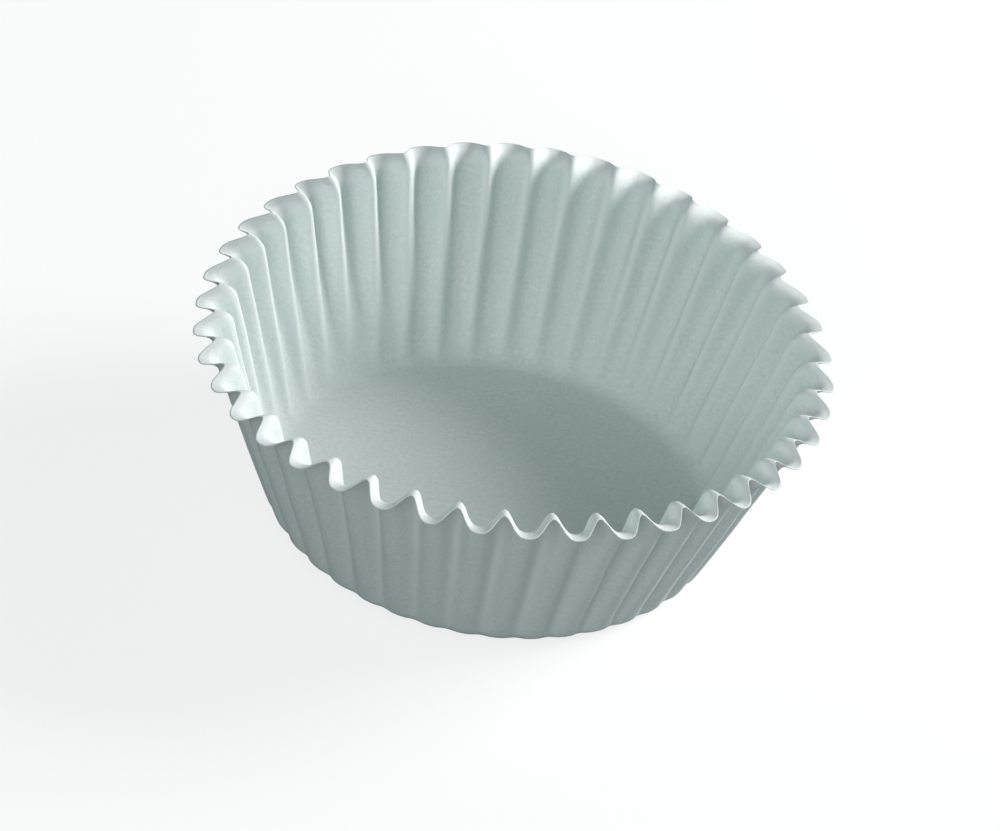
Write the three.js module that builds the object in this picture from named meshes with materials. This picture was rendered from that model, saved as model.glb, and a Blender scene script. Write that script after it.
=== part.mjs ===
// Paper cupcake liner: one round sheet of thin paper pressed into a fluted cup.
// The middle of the sheet stays flat as the floor. Past the floor the sheet turns up through a
// soft corner into a leaning wall, and ends in a narrow lip that flares out at the cut edge.
// A round sheet has more paper at its edge than the cup's wall needs, so the spare paper is
// gathered into flutes, which start at the floor and deepen all the way up to the lip.
// Lengths are in millimetres, +Z is up, and the origin is the middle of the floor's underside.

import * as THREE from "three";

// Driving dimensions
const FLOOR_RADIUS = 25; // flat disc that rests on the table
const CORNER_RADIUS = 2.5; // soft bend between the floor and the wall
const CUP_HEIGHT = 24.4; // from the table to the cut edge, halfway between lobe and ridge
const WALL_LEAN = 19; // degrees that the wall leans out from upright
const LIP_RADIUS = 2; // bend where the wall turns out into the lip
const LIP_RISE = 6; // degrees that the lip still rises towards its cut edge
const LIP_WIDTH = 0.8; // flat part of the lip, out to the cut edge
const PAPER_THICKNESS = 0.1;

// Flutes
const FLUTE_COUNT = 42;
const FLUTE_TILT = 27; // degrees below level in which a lobe is pushed outwards
const FIRST_LOBE = 3.2; // azimuth of the first outward lobe, in degrees from +X
const LOBE_FULLNESS = 0.2; // share by which lobes are wider than the ridges between them

// The thin cup doesn't stand perfectly round or level at its rim
const RIM_OVAL = 0.5; // radius gained along the oval's long way, and lost across it
const OVAL_DIRECTION = 64; // azimuth of the oval's long way, in degrees
const RIM_SADDLE = 1; // height gained at the rim's front and back, and lost at its sides

// Fineness of the surface
const POINTS_PER_FLUTE = 8;
const CORNER_STEPS = 2;
const WALL_STEPS = 2;
const LIP_STEPS = 2;

// Pitch angles of the sheet, measured from level
const wallPitch = THREE.MathUtils.degToRad(90 - WALL_LEAN);
const lipPitch = THREE.MathUtils.degToRad(LIP_RISE);
const lipTurn = wallPitch - lipPitch;

// What the corner and the lip add to the height, which leaves the rest to the straight wall
const cornerHeight = CORNER_RADIUS * (1 - Math.cos(wallPitch));
const lipBendHeight = LIP_RADIUS * (Math.cos(lipPitch) - Math.cos(wallPitch));
const lipFlatHeight = LIP_WIDTH * Math.sin(lipPitch);
const floorTop = PAPER_THICKNESS / 2;
const wallHeight = CUP_HEIGHT - floorTop - cornerHeight - lipBendHeight - lipFlatHeight;
const wallLength = wallHeight / Math.sin(wallPitch);

// Stretches of the sheet from the middle of the floor to the cut edge. Each is a straight line
// or an arc, given by its length along the paper and the angle through which it turns.
const stretches = [
  { length: FLOOR_RADIUS, turn: 0, steps: 1 },
  { length: CORNER_RADIUS * wallPitch, turn: wallPitch, steps: CORNER_STEPS },
  { length: wallLength, turn: 0, steps: WALL_STEPS },
  { length: LIP_RADIUS * lipTurn, turn: -lipTurn, steps: LIP_STEPS },
  { length: LIP_WIDTH, turn: 0, steps: 1 },
];

// Radius and height of the plain, unfluted cup at a distance along the paper from its middle
function plainProfile(distance) {
  let radius = 0;
  let height = floorTop;
  let pitch = 0;
  let left = distance;
  for (const { length, turn } of stretches) {
    const run = Math.min(left, length);
    const bend = (turn * run) / length;
    const chord = turn === 0 ? run : (2 * Math.sin(bend / 2) * length) / turn;
    radius += chord * Math.cos(pitch + bend / 2);
    height += chord * Math.sin(pitch + bend / 2);
    pitch += bend;
    left -= run;
  }
  return { radius, height };
}

// Half the depth of a flute that takes up exactly the spare paper at a place on the wall.
// The sheet is a circle of radius distance there, and the cup is only radius wide. A wave of
// amplitude a with n turns is longer than its circle by the root of 1 + (a n / radius)^2 / 2.
function fluteAmplitude(distance, radius) {
  const gather = distance / radius;
  return (radius / FLUTE_COUNT) * Math.sqrt(Math.max(0, 2 * (gather * gather - 1)));
}

// Wave across the flutes: 1 on top of a lobe and -1 in a ridge, with the lobes the fuller
function fluteWave(azimuth) {
  const phase = FLUTE_COUNT * (azimuth - THREE.MathUtils.degToRad(FIRST_LOBE));
  return Math.cos(phase) - LOBE_FULLNESS * Math.cos(2 * phase);
}

const rimRadius = plainProfile(Infinity).radius;
const fluteTilt = THREE.MathUtils.degToRad(FLUTE_TILT);
const ovalDirection = THREE.MathUtils.degToRad(OVAL_DIRECTION);

// Point on the middle of the paper's thickness
function sheetPoint(distance, azimuth) {
  const plain = plainProfile(distance);
  const push = distance > FLOOR_RADIUS ? fluteAmplitude(distance, plain.radius) * fluteWave(azimuth) : 0;
  const rise = (plain.height - floorTop) / (CUP_HEIGHT - floorTop);
  const oval = RIM_OVAL * rise * Math.cos(2 * (azimuth - ovalDirection));
  const saddle = RIM_SADDLE * rise * Math.cos(2 * azimuth);
  const radius = plain.radius + push * Math.cos(fluteTilt) + (oval * plain.radius) / rimRadius;
  const height = plain.height - push * Math.sin(fluteTilt) - saddle;
  return new THREE.Vector3(radius * Math.cos(azimuth), radius * Math.sin(azimuth), height);
}

// Direction square to the paper, pointing into the cup
function sheetNormal(distance, azimuth) {
  const nudge = 1e-3;
  const here = sheetPoint(distance, azimuth);
  const inwards = sheetPoint(distance - nudge, azimuth).sub(here);
  const clockwise = sheetPoint(distance, azimuth - nudge / distance).sub(here);
  return inwards.cross(clockwise).normalize();
}

// Distances along the paper at which a ring of points is laid, from the floor's edge outwards
function ringDistances() {
  const distances = [];
  let start = 0;
  for (const { length, steps } of stretches) {
    for (let step = 1; step <= steps; step++) {
      distances.push(start + (length * step) / steps);
    }
    start += length;
  }
  return distances;
}

// The whole sheet as one closed body: an inner skin and an outer skin half a thickness either
// side of the middle, each from its own point in the middle of the floor, joined at the cut edge
function linerGeometry() {
  const columns = FLUTE_COUNT * POINTS_PER_FLUTE;
  const distances = ringDistances();
  const positions = [];
  const triangles = [];

  function addRing(distance, offset) {
    const first = positions.length / 3;
    for (let column = 0; column < columns; column++) {
      const azimuth = (2 * Math.PI * column) / columns;
      const point = sheetPoint(distance, azimuth);
      point.addScaledVector(sheetNormal(distance, azimuth), offset);
      positions.push(point.x, point.y, point.z);
    }
    return first;
  }

  function joinRings(lower, upper) {
    for (let column = 0; column < columns; column++) {
      const next = (column + 1) % columns;
      triangles.push(lower + column, lower + next, upper + next);
      triangles.push(lower + column, upper + next, upper + column);
    }
  }

  const outer = distances.map((distance) => addRing(distance, -PAPER_THICKNESS / 2));
  const inner = distances.map((distance) => addRing(distance, PAPER_THICKNESS / 2));
  for (let ring = 1; ring < distances.length; ring++) {
    joinRings(outer[ring - 1], outer[ring]);
    joinRings(inner[ring], inner[ring - 1]);
  }
  joinRings(outer.at(-1), inner.at(-1));

  const underside = positions.length / 3;
  positions.push(0, 0, floorTop - PAPER_THICKNESS / 2);
  const topside = underside + 1;
  positions.push(0, 0, floorTop + PAPER_THICKNESS / 2);
  for (let column = 0; column < columns; column++) {
    const next = (column + 1) % columns;
    triangles.push(underside, outer[0] + next, outer[0] + column);
    triangles.push(topside, inner[0] + column, inner[0] + next);
  }

  const geometry = new THREE.BufferGeometry();
  geometry.setAttribute("position", new THREE.Float32BufferAttribute(positions, 3));
  geometry.setIndex(triangles);
  geometry.computeVertexNormals();
  return geometry;
}

const paper = new THREE.MeshStandardMaterial({
  color: 0xe4edeb,
  roughness: 0.8,
  metalness: 0,
  flatShading: true,
});

const liner = new THREE.Mesh(linerGeometry(), paper);
liner.name = "fluted_paper_liner";

const cupcakeLiner = new THREE.Group();
cupcakeLiner.add(liner);

export default cupcakeLiner;
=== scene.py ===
# %% [markdown]
# # A paper cupcake liner
#
# The real object is one round sheet of thin white baking paper. A press pushes the middle of the
# sheet flat, folds the rest up into a wall, and gathers the spare paper into flutes. This lesson
# follows the press: it lays out the flat sheet, stores where every point of it lay, and then
# moves each point to where the press would leave it.
#
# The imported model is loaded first. It is the fixed frame: everything made here is in metres, in
# the same place and at the same size.

# %% Load the frame
import math
import bpy
import bmesh
from mathutils import Matrix, Vector, noise


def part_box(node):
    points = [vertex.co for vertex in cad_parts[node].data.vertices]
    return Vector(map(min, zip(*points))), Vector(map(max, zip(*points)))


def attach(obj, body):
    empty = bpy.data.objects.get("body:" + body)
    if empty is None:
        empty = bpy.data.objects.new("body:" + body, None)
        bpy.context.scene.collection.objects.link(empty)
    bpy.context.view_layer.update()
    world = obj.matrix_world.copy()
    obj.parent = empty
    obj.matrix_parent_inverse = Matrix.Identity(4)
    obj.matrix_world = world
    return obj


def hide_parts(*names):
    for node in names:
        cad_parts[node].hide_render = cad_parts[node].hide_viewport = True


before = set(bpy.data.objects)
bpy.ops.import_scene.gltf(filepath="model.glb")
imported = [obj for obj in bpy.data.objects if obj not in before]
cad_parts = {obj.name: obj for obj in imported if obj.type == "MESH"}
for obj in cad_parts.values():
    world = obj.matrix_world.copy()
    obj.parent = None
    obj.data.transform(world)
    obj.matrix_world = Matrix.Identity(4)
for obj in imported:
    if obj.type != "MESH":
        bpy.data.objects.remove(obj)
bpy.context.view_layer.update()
MM = 0.001
NODE = "fluted_paper_liner"
low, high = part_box(NODE)
print("frame box in mm:", [round((b - a) / MM, 2) for a, b in zip(low, high)])

# %% [markdown]
# ## The camera
#
# The photograph was taken from in front and above, from far away with a long lens, and the cup
# leans a little in the picture because the camera was rolled. A camera is three directions and a
# place, so the matrix is written down from the two angles. The small sideways shift keeps the cup
# where it stands in the picture, and is made with the camera's place, not with its lens.

# %% Camera at the photograph's angle
IMAGE_WIDTH_PX = 1000
FOCAL_LENGTH_PX = 5317
SENSOR_WIDTH = 36
CAMERA_ELEVATION = math.radians(37.44)
CAMERA_ROLL = math.radians(9.55)
CAMERA_DISTANCE = 636.6 * MM
CAMERA_ASIDE = 1.17 * MM
CAMERA_ABOVE = 9.74 * MM


def make_camera():
    back = Vector((0, -math.cos(CAMERA_ELEVATION), math.sin(CAMERA_ELEVATION)))
    level = Vector((1, 0, 0))
    upright = back.cross(level)
    right = level * math.cos(CAMERA_ROLL) + upright * math.sin(CAMERA_ROLL)
    up = upright * math.cos(CAMERA_ROLL) - level * math.sin(CAMERA_ROLL)
    data = bpy.data.cameras.new("camera")
    data.sensor_fit = "HORIZONTAL"
    data.sensor_width = SENSOR_WIDTH
    data.lens = SENSOR_WIDTH * FOCAL_LENGTH_PX / IMAGE_WIDTH_PX
    camera = bpy.data.objects.new("camera", data)
    turn = Matrix((right, up, back)).transposed().to_4x4()
    place = back * CAMERA_DISTANCE + right * CAMERA_ASIDE + up * CAMERA_ABOVE
    camera.matrix_world = Matrix.Translation(place) @ turn
    bpy.context.scene.collection.objects.link(camera)
    bpy.context.scene.camera = camera
    return camera


camera = make_camera()
print("lens in mm:", round(camera.data.lens, 1))

# %% [markdown]
# ## The pressed sheet's sizes
#
# These are the sizes of the solid in the frame, so the fine sheet made here lies where the
# solid lies. The sheet's own meridian, from the middle of the floor to the cut edge, is a row of
# straight lines and arcs: floor, corner, wall, lip bend and lip. Each is written as its length
# along the paper and the angle through which the paper turns.

# %% Sizes and meridian
FLOOR_RADIUS = 25 * MM
CORNER_RADIUS = 2.5 * MM
CUP_HEIGHT = 24.4 * MM
WALL_PITCH = math.radians(90 - 19)
LIP_RADIUS = 2.0 * MM
LIP_PITCH = math.radians(6)
LIP_WIDTH = 0.8 * MM
PAPER = 0.1 * MM
FLUTE_COUNT = 42
FLUTE_TILT = math.radians(27)
FIRST_LOBE = math.radians(3.2)
LOBE_FULLNESS = 0.2
RIM_OVAL = 0.5 * MM
OVAL_DIRECTION = math.radians(64)
RIM_SADDLE = 1.0 * MM

lip_turn = WALL_PITCH - LIP_PITCH
floor_top = PAPER / 2
wall_height = (
    CUP_HEIGHT - floor_top
    - CORNER_RADIUS * (1 - math.cos(WALL_PITCH))
    - LIP_RADIUS * (math.cos(LIP_PITCH) - math.cos(WALL_PITCH))
    - LIP_WIDTH * math.sin(LIP_PITCH)
)
STRETCHES = (
    (FLOOR_RADIUS, 0),
    (CORNER_RADIUS * WALL_PITCH, WALL_PITCH),
    (wall_height / math.sin(WALL_PITCH), 0),
    (LIP_RADIUS * lip_turn, -lip_turn),
    (LIP_WIDTH, 0),
)
BLANK_RADIUS = sum(length for length, _ in STRETCHES)
LIP_START = sum(length for length, _ in STRETCHES[:3])


def plain_profile(distance):
    """Radius and height of the cup without its flutes, at a distance along the paper."""
    radius, height, pitch, left = 0.0, floor_top, 0.0, distance
    for length, turn in STRETCHES:
        run = min(left, length)
        bend = turn * run / length
        chord = run if turn == 0 else 2 * math.sin(bend / 2) * length / turn
        radius += chord * math.cos(pitch + bend / 2)
        height += chord * math.sin(pitch + bend / 2)
        pitch += bend
        left -= run
    return radius, height


RIM_RADIUS = plain_profile(BLANK_RADIUS)[0]
print("flat sheet across in mm:", round(2 * BLANK_RADIUS / MM, 1))

# %% [markdown]
# ## Flutes, with a slight unevenness
#
# A circle of paper far out on the sheet is longer than the wall has room for. A wave that takes
# up just that much paper is as deep as the square root below, so the flutes deepen by themselves
# from nothing at the floor to their most at the lip. Real flutes aren't all alike: one is a little
# wider than the next, and the wall waves slowly. Smooth noise, read on a circle so that it closes
# on itself, gives those small differences and is the same on every run. Each pair of noise values
# says how many times wider than one unit that circle is, and at what height in the noise it lies.

# %% Flute shapes
PITCH_SWING = 0.07
DEPTH_SWING = 0.13
RIPPLE_HEIGHT = 0.16 * MM
RIPPLE_LENGTH = 6 * MM
PITCH_NOISE = (9.0, 3.1)
DEPTH_NOISE = (14.0, 7.7)


def swing(azimuth, scale, seed):
    """Smooth noise from about -1 to 1 that closes on itself round the cup."""
    on_circle = Vector((math.cos(azimuth), math.sin(azimuth), 0)) * scale
    return noise.noise(on_circle + Vector((0, 0, seed)))


def flute_phase(azimuth):
    shift = PITCH_SWING * 2 * math.pi * swing(azimuth, *PITCH_NOISE)
    return FLUTE_COUNT * (azimuth - FIRST_LOBE) + shift


def flute_push(distance, azimuth, radius):
    if distance <= FLOOR_RADIUS:
        return 0.0
    gather = distance / radius
    amplitude = radius / FLUTE_COUNT * math.sqrt(max(0.0, 2 * (gather * gather - 1)))
    amplitude *= 1 + DEPTH_SWING * swing(azimuth, *DEPTH_NOISE)
    phase = flute_phase(azimuth)
    return amplitude * (math.cos(phase) - LOBE_FULLNESS * math.cos(2 * phase))


def pressed(flat):
    """Where the press leaves a point of the flat sheet."""
    distance, azimuth = math.hypot(flat.x, flat.y), math.atan2(flat.y, flat.x)
    radius, height = plain_profile(distance)
    push = flute_push(distance, azimuth, radius)
    rise = (height - floor_top) / (CUP_HEIGHT - floor_top)
    oval = RIM_OVAL * rise * math.cos(2 * (azimuth - OVAL_DIRECTION)) * radius / RIM_RADIUS
    ripple = RIPPLE_HEIGHT * rise * noise.noise(Vector((flat.x, flat.y, 0)) / RIPPLE_LENGTH)
    out = radius + push * math.cos(FLUTE_TILT) + oval + ripple
    height -= push * math.sin(FLUTE_TILT) + RIM_SADDLE * rise * math.cos(2 * azimuth)
    return Vector((out * math.cos(azimuth), out * math.sin(azimuth), height))


# %% [markdown]
# ## Lay out the flat sheet and press it
#
# The sheet starts as one spoke of points from its middle to its edge, close together where the
# paper bends. Spinning the spoke a full turn makes the flat round sheet. Its flat place becomes
# the UV map, so the paper's grain can follow the sheet through every fold, as it does on real
# paper. Only then is each point moved to its pressed place. A Solidify modifier gives the sheet
# its thickness at the end, with a material of its own on the cut edge.

# %% Make the liner's mesh
COLUMNS_PER_FLUTE = 14
SPOKE_STEPS = (10, 9, 18, 7, 4)
LIP_FADE = 0.6
SAME_POINT = 1e-7
COLUMNS = FLUTE_COUNT * COLUMNS_PER_FLUTE


def spoke_distances():
    distances, start = [0.0], 0.0
    for (length, _), steps in zip(STRETCHES, SPOKE_STEPS):
        distances += [start + length * step / steps for step in range(1, steps + 1)]
        start += length
    return distances


def flat_sheet():
    bm = bmesh.new()
    spoke = [bm.verts.new((distance, 0, 0)) for distance in spoke_distances()]
    edges = [bm.edges.new(pair) for pair in zip(spoke, spoke[1:])]
    bmesh.ops.spin(
        bm, geom=spoke + edges, cent=(0, 0, 0), axis=(0, 0, 1),
        angle=2 * math.pi, steps=COLUMNS, use_merge=True,
    )
    bmesh.ops.remove_doubles(bm, verts=bm.verts, dist=SAME_POINT)
    bmesh.ops.recalc_face_normals(bm, faces=bm.faces)
    if sum(face.normal.z for face in bm.faces) < 0:
        bmesh.ops.reverse_faces(bm, faces=bm.faces)
    return bm


def press_sheet(bm):
    sheet_map = bm.loops.layers.uv.new("flat_sheet")
    ridge = bm.verts.layers.float.new("ridge")
    gathered = bm.verts.layers.float.new("gathered")
    lip = bm.verts.layers.float.new("lip")
    for face in bm.faces:
        face.smooth = True
        for loop in face.loops:
            flat = loop.vert.co
            across, along = flat.x / (2 * BLANK_RADIUS), flat.y / (2 * BLANK_RADIUS)
            loop[sheet_map].uv = (0.5 + across, 0.5 + along)
    for vert in bm.verts:
        distance, azimuth = vert.co.length, math.atan2(vert.co.y, vert.co.x)
        vert[ridge] = 0.5 - 0.5 * math.cos(flute_phase(azimuth))
        vert[gathered] = max(0.0, (distance - FLOOR_RADIUS) / (BLANK_RADIUS - FLOOR_RADIUS))
        # The lip mask rises from 0 at the top of the wall to 1 across the lip, and places a
        # painted highlight there.
        past_wall = (distance - LIP_START) / (BLANK_RADIUS - LIP_START)
        vert[lip] = min(1.0, max(0.0, past_wall / LIP_FADE))
        vert.co = pressed(vert.co)


def make_liner():
    bm = flat_sheet()
    press_sheet(bm)
    mesh = bpy.data.meshes.new("liner")
    bm.to_mesh(mesh)
    bm.free()
    liner = bpy.data.objects.new("pressed_paper_liner", mesh)
    bpy.context.scene.collection.objects.link(liner)
    wall = liner.modifiers.new("paper_thickness", "SOLIDIFY")
    wall.thickness = PAPER
    wall.offset = 0
    wall.use_even_offset = True
    wall.material_offset_rim = 1
    return liner


liner = make_liner()
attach(liner, "root")
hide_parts(NODE)
print("faces of the sheet:", len(liner.data.polygons), "columns:", COLUMNS)

# %% [markdown]
# ## The paper's surface
#
# Baking paper is a felt of short fibres. Held close it shows a fine grain and a cloudy unevenness
# a few millimetres wide. The body of the paper and its cut edge share that felt, so it is one node
# group, placed in each of the two materials with its own scales. It reads the flat sheet's UV map
# and gives out a mask and a height.

# %% Node group for the felt of fibres
GRAIN_SCALE = 210
CLOUD_SCALE = 30
CLOUD_SHARE = 0.5
GRAIN_DETAIL = 3
CLOUD_DETAIL = 5
GRAIN_HARSHNESS = 0.65


def node(tree, kind, **settings):
    made = tree.nodes.new(kind)
    for name, value in settings.items():
        setattr(made, name, value)
    return made


def math_node(tree, operation, first, second):
    made = node(tree, "ShaderNodeMath", operation=operation)
    for socket, value in zip(made.inputs, (first, second)):
        if isinstance(value, (int, float)):
            socket.default_value = value
        else:
            tree.links.new(value, socket)
    return made.outputs[0]


def paper_felt_group():
    group = bpy.data.node_groups.new("paper_felt", "ShaderNodeTree")
    sockets = group.interface
    sockets.new_socket("Sheet", in_out="INPUT", socket_type="NodeSocketVector")
    grain = sockets.new_socket("Grain Scale", in_out="INPUT", socket_type="NodeSocketFloat")
    cloud = sockets.new_socket("Cloud Scale", in_out="INPUT", socket_type="NodeSocketFloat")
    grain.default_value, cloud.default_value = GRAIN_SCALE, CLOUD_SCALE
    sockets.new_socket("Cloud", in_out="OUTPUT", socket_type="NodeSocketFloat")
    sockets.new_socket("Height", in_out="OUTPUT", socket_type="NodeSocketFloat")
    given = node(group, "NodeGroupInput")
    given_out = node(group, "NodeGroupOutput")
    cloud_noise = node(group, "ShaderNodeTexNoise")
    cloud_noise.inputs["Detail"].default_value = CLOUD_DETAIL
    group.links.new(given.outputs["Sheet"], cloud_noise.inputs["Vector"])
    group.links.new(given.outputs["Cloud Scale"], cloud_noise.inputs["Scale"])
    grain_noise = node(group, "ShaderNodeTexNoise")
    grain_noise.inputs["Detail"].default_value = GRAIN_DETAIL
    grain_noise.inputs["Roughness"].default_value = GRAIN_HARSHNESS
    group.links.new(given.outputs["Sheet"], grain_noise.inputs["Vector"])
    group.links.new(given.outputs["Grain Scale"], grain_noise.inputs["Scale"])
    cloudy = math_node(group, "MULTIPLY", cloud_noise.outputs["Fac"], CLOUD_SHARE)
    height = math_node(group, "ADD", grain_noise.outputs["Fac"], cloudy)
    group.links.new(cloud_noise.outputs["Fac"], given_out.inputs["Cloud"])
    group.links.new(height, given_out.inputs["Height"])
    return group


felt = paper_felt_group()
outputs = [item.name for item in felt.interface.items_tree if item.in_out == "OUTPUT"]
print("felt group outputs:", outputs)

# %% [markdown]
# The paper's material mixes two close whites by the cloud mask and adds a speckle of darker
# fibres. The inner ridges of the flutes are a little smoother, because the press polished them,
# and whiter: partly the polished crease, partly a painted highlight where the ridges catch the
# light. The whiteness grows with the paper gathered there, so it grows towards the top. The lip
# is painted whitest, a painted highlight for the light that the lip catches.
# The bump that the fibres make is less than a tenth of a millimetre high.

# %% Paper and cut edge materials
PAPER_LIGHT = (0.84, 0.882, 0.877, 1)
PAPER_DEEP = (0.77, 0.826, 0.82, 1)
# Whiter crest colour: partly the press-polished crease, partly a painted highlight where the
# ridges catch the light.
RIDGE_POLISH_AND_HIGHLIGHT = (0.88, 0.915, 0.91, 1)
SPECKLE = (0.70, 0.755, 0.75, 1)
SPECKLE_SHARE = 0.7
# Painted highlight: a whiter colour on the lip that stands in for the light the lip catches.
LIP_PAINTED_HIGHLIGHT = (0.91, 0.93, 0.928, 1)
# Painted highlight: the cut edge's whiter colour stands in for the light that the thin edge
# catches and lets through.
EDGE_PAINTED_HIGHLIGHT = (0.93, 0.95, 0.948, 1)
CLOUD_RANGE = (0.35, 0.65)
SPECKLE_RANGE = (0.66, 0.9)
RIDGE_SHARPNESS = 6.0
PAPER_ROUGHNESS = 0.72
RIDGE_ROUGHNESS = 0.5
EDGE_ROUGHNESS = 0.85
PAPER_SPECULAR = 0.35
PAPER_BUMP = 0.1 * MM
EDGE_BUMP = 0.03 * MM
BUMP_STRENGTH = 0.6
EDGE_GRAIN_SCALE = 420
EDGE_CLOUD_SCALE = 60


def new_material(name):
    material = bpy.data.materials.new(name)
    material.use_nodes = True
    tree = material.node_tree
    return material, tree, tree.nodes["Principled BSDF"]


def place_felt(tree, grain_scale, cloud_scale):
    sheet = node(tree, "ShaderNodeUVMap", uv_map="flat_sheet")
    placed = node(tree, "ShaderNodeGroup")
    placed.node_tree = felt
    placed.inputs["Grain Scale"].default_value = grain_scale
    placed.inputs["Cloud Scale"].default_value = cloud_scale
    tree.links.new(sheet.outputs["UV"], placed.inputs["Sheet"])
    return placed


def attribute(tree, name):
    return node(tree, "ShaderNodeAttribute", attribute_name=name).outputs["Fac"]


def mix_colour(tree, factor, first, second):
    mix = node(tree, "ShaderNodeMix", data_type="RGBA")
    tree.links.new(factor, mix.inputs["Factor"])
    for socket, value in ((mix.inputs["A"], first), (mix.inputs["B"], second)):
        if isinstance(value, tuple):
            socket.default_value = value
        else:
            tree.links.new(value, socket)
    return mix.outputs["Result"]


def map_range(tree, value, from_range, to_range=(0.0, 1.0)):
    mapped = node(tree, "ShaderNodeMapRange")
    mapped.inputs["From Min"].default_value, mapped.inputs["From Max"].default_value = from_range
    mapped.inputs["To Min"].default_value, mapped.inputs["To Max"].default_value = to_range
    tree.links.new(value, mapped.inputs["Value"])
    return mapped.outputs["Result"]


def bump_from(tree, height, distance):
    bump = node(tree, "ShaderNodeBump")
    bump.inputs["Distance"].default_value = distance
    bump.inputs["Strength"].default_value = BUMP_STRENGTH
    tree.links.new(height, bump.inputs["Height"])
    return bump.outputs["Normal"]


def paper_material():
    material, tree, shader = new_material("pressed_baking_paper")
    felt_node = place_felt(tree, GRAIN_SCALE, CLOUD_SCALE)
    cloud = map_range(tree, felt_node.outputs["Cloud"], CLOUD_RANGE)
    cloudy = mix_colour(tree, cloud, PAPER_DEEP, PAPER_LIGHT)
    fibres = map_range(tree, felt_node.outputs["Height"], SPECKLE_RANGE, (0.0, SPECKLE_SHARE))
    body = mix_colour(tree, fibres, cloudy, SPECKLE)
    crest = math_node(tree, "POWER", attribute(tree, "ridge"), RIDGE_SHARPNESS)
    # Crest mask, growing with the gathered paper towards the top: it makes the polished crests
    # smoother, and whiter, partly as a painted highlight.
    crest_polish_and_highlight = math_node(tree, "MULTIPLY", crest, attribute(tree, "gathered"))
    ridged = mix_colour(tree, crest_polish_and_highlight, body, RIDGE_POLISH_AND_HIGHLIGHT)
    # Painted highlight: the lip is mixed towards a whiter colour that stands in for the light it
    # catches.
    colour = mix_colour(tree, attribute(tree, "lip"), ridged, LIP_PAINTED_HIGHLIGHT)
    tree.links.new(colour, shader.inputs["Base Color"])
    rough = map_range(tree, crest_polish_and_highlight, (0.0, 1.0), (PAPER_ROUGHNESS, RIDGE_ROUGHNESS))
    tree.links.new(rough, shader.inputs["Roughness"])
    normal = bump_from(tree, felt_node.outputs["Height"], PAPER_BUMP)
    tree.links.new(normal, shader.inputs["Normal"])
    shader.inputs["Specular IOR Level"].default_value = PAPER_SPECULAR
    return material


def cut_edge_material():
    material, tree, shader = new_material("paper_cut_edge")
    felt_node = place_felt(tree, EDGE_GRAIN_SCALE, EDGE_CLOUD_SCALE)
    # The cut edge is mixed towards a whiter colour, a painted highlight for the light on the thin
    # edge.
    colour = mix_colour(tree, felt_node.outputs["Cloud"], PAPER_LIGHT, EDGE_PAINTED_HIGHLIGHT)
    tree.links.new(colour, shader.inputs["Base Color"])
    normal = bump_from(tree, felt_node.outputs["Height"], EDGE_BUMP)
    tree.links.new(normal, shader.inputs["Normal"])
    shader.inputs["Roughness"].default_value = EDGE_ROUGHNESS
    return material


liner.data.materials.append(paper_material())
liner.data.materials.append(cut_edge_material())
print("materials:", [material.name for material in liner.data.materials])

# %% [markdown]
# ## Floor and light
#
# The cup stands on a plain pale table, which lies a hair lower than the paper so that the two
# faces don't meet. A broad lamp, low on the right and a little behind, does what the photograph's
# light does: it comes over the right wall of the cup, lights the left inside wall and the left of
# the cup's floor, and leaves the rest of that floor in soft shade. A weaker broad lamp in front
# lights the far inside wall. The light of the room is strongest at the level of the table and
# fades towards overhead, so the cup's floor stays darker than its walls. The table shows white of
# its own to the camera alone, so that the background is white without more light on the paper.

# %% Table, lamps and room light
FLOOR_SIZE = 4.0
TABLE_GAP = 0.05 * MM
FLOOR_COLOUR = (0.28, 0.28, 0.28, 1)
FLOOR_GLOW = 0.77
FLOOR_ROUGHNESS = 0.9
FLOOR_SPECULAR = 0.1
KEY_TOWARDS = Vector((0.88, 0.42, 0.50))
LAMP_AWAY = 0.7
KEY_SIZE = 0.36
KEY_POWER = 5.1
LAMP_COLOUR = (1.0, 0.985, 0.98)
FILL_TOWARDS = Vector((-0.22, -0.82, 0.54))
FILL_SIZE = 0.4
FILL_POWER = 1.05
ROOM_LOW = 0.62
ROOM_OVERHEAD = 0.02
ROOM_COLOUR = (0.74, 1.0, 0.985, 1)


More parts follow.
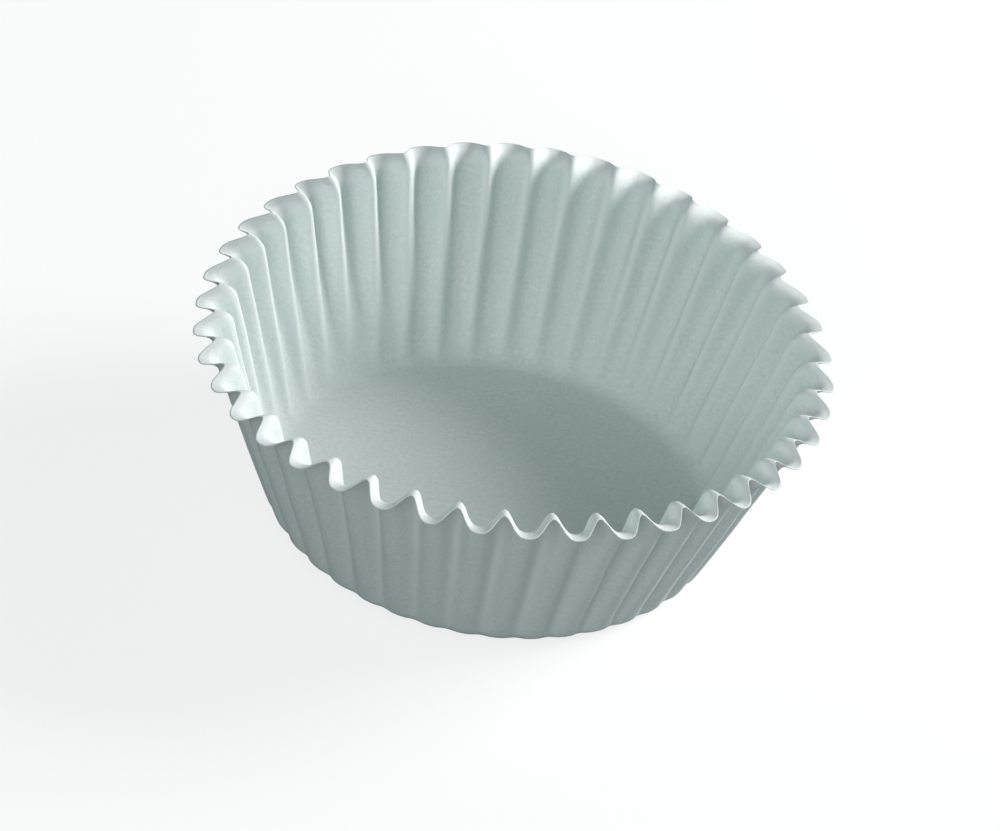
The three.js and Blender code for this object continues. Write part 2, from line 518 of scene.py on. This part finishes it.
def make_table():
    bm = bmesh.new()
    bmesh.ops.create_grid(bm, x_segments=1, y_segments=1, size=FLOOR_SIZE / 2)
    bmesh.ops.translate(bm, verts=bm.verts, vec=(0, 0, -TABLE_GAP))
    mesh = bpy.data.meshes.new("table")
    bm.to_mesh(mesh)
    bm.free()
    table = bpy.data.objects.new("table", mesh)
    bpy.context.scene.collection.objects.link(table)
    material, tree, shader = new_material("white_table")
    shader.inputs["Base Color"].default_value = FLOOR_COLOUR
    shader.inputs["Roughness"].default_value = FLOOR_ROUGHNESS
    shader.inputs["Specular IOR Level"].default_value = FLOOR_SPECULAR
    shader.inputs["Emission Color"].default_value = (1, 1, 1, 1)
    seen = node(tree, "ShaderNodeLightPath").outputs["Is Camera Ray"]
    glow = math_node(tree, "MULTIPLY", seen, FLOOR_GLOW)
    tree.links.new(glow, shader.inputs["Emission Strength"])
    mesh.materials.append(material)
    return table


def make_lamp(name, towards, size, power):
    data = bpy.data.lights.new(name, "AREA")
    data.shape = "DISK"
    data.size = size
    data.energy = power
    data.color = LAMP_COLOUR
    lamp = bpy.data.objects.new(name, data)
    lamp.location = towards.normalized() * LAMP_AWAY
    lamp.rotation_euler = towards.to_track_quat("Z", "Y").to_euler()
    bpy.context.scene.collection.objects.link(lamp)
    return lamp


def light_room():
    world = bpy.data.worlds.new("room")
    world.use_nodes = True
    tree = world.node_tree
    background = tree.nodes["Background"]
    background.inputs["Color"].default_value = ROOM_COLOUR
    direction = node(tree, "ShaderNodeTexCoord").outputs["Generated"]
    split = node(tree, "ShaderNodeSeparateXYZ")
    tree.links.new(direction, split.inputs["Vector"])
    fall = map_range(tree, split.outputs["Z"], (0.0, 1.0), (ROOM_LOW, ROOM_OVERHEAD))
    tree.links.new(fall, background.inputs["Strength"])
    bpy.context.scene.world = world


make_table()
make_lamp("key", KEY_TOWARDS, KEY_SIZE, KEY_POWER)
make_lamp("fill", FILL_TOWARDS, FILL_SIZE, FILL_POWER)
light_room()
bpy.context.scene.view_settings.view_transform = "Standard"
key_place = KEY_TOWARDS.normalized() * LAMP_AWAY
print("key lamp at, in metres:", [round(value, 2) for value in key_place])
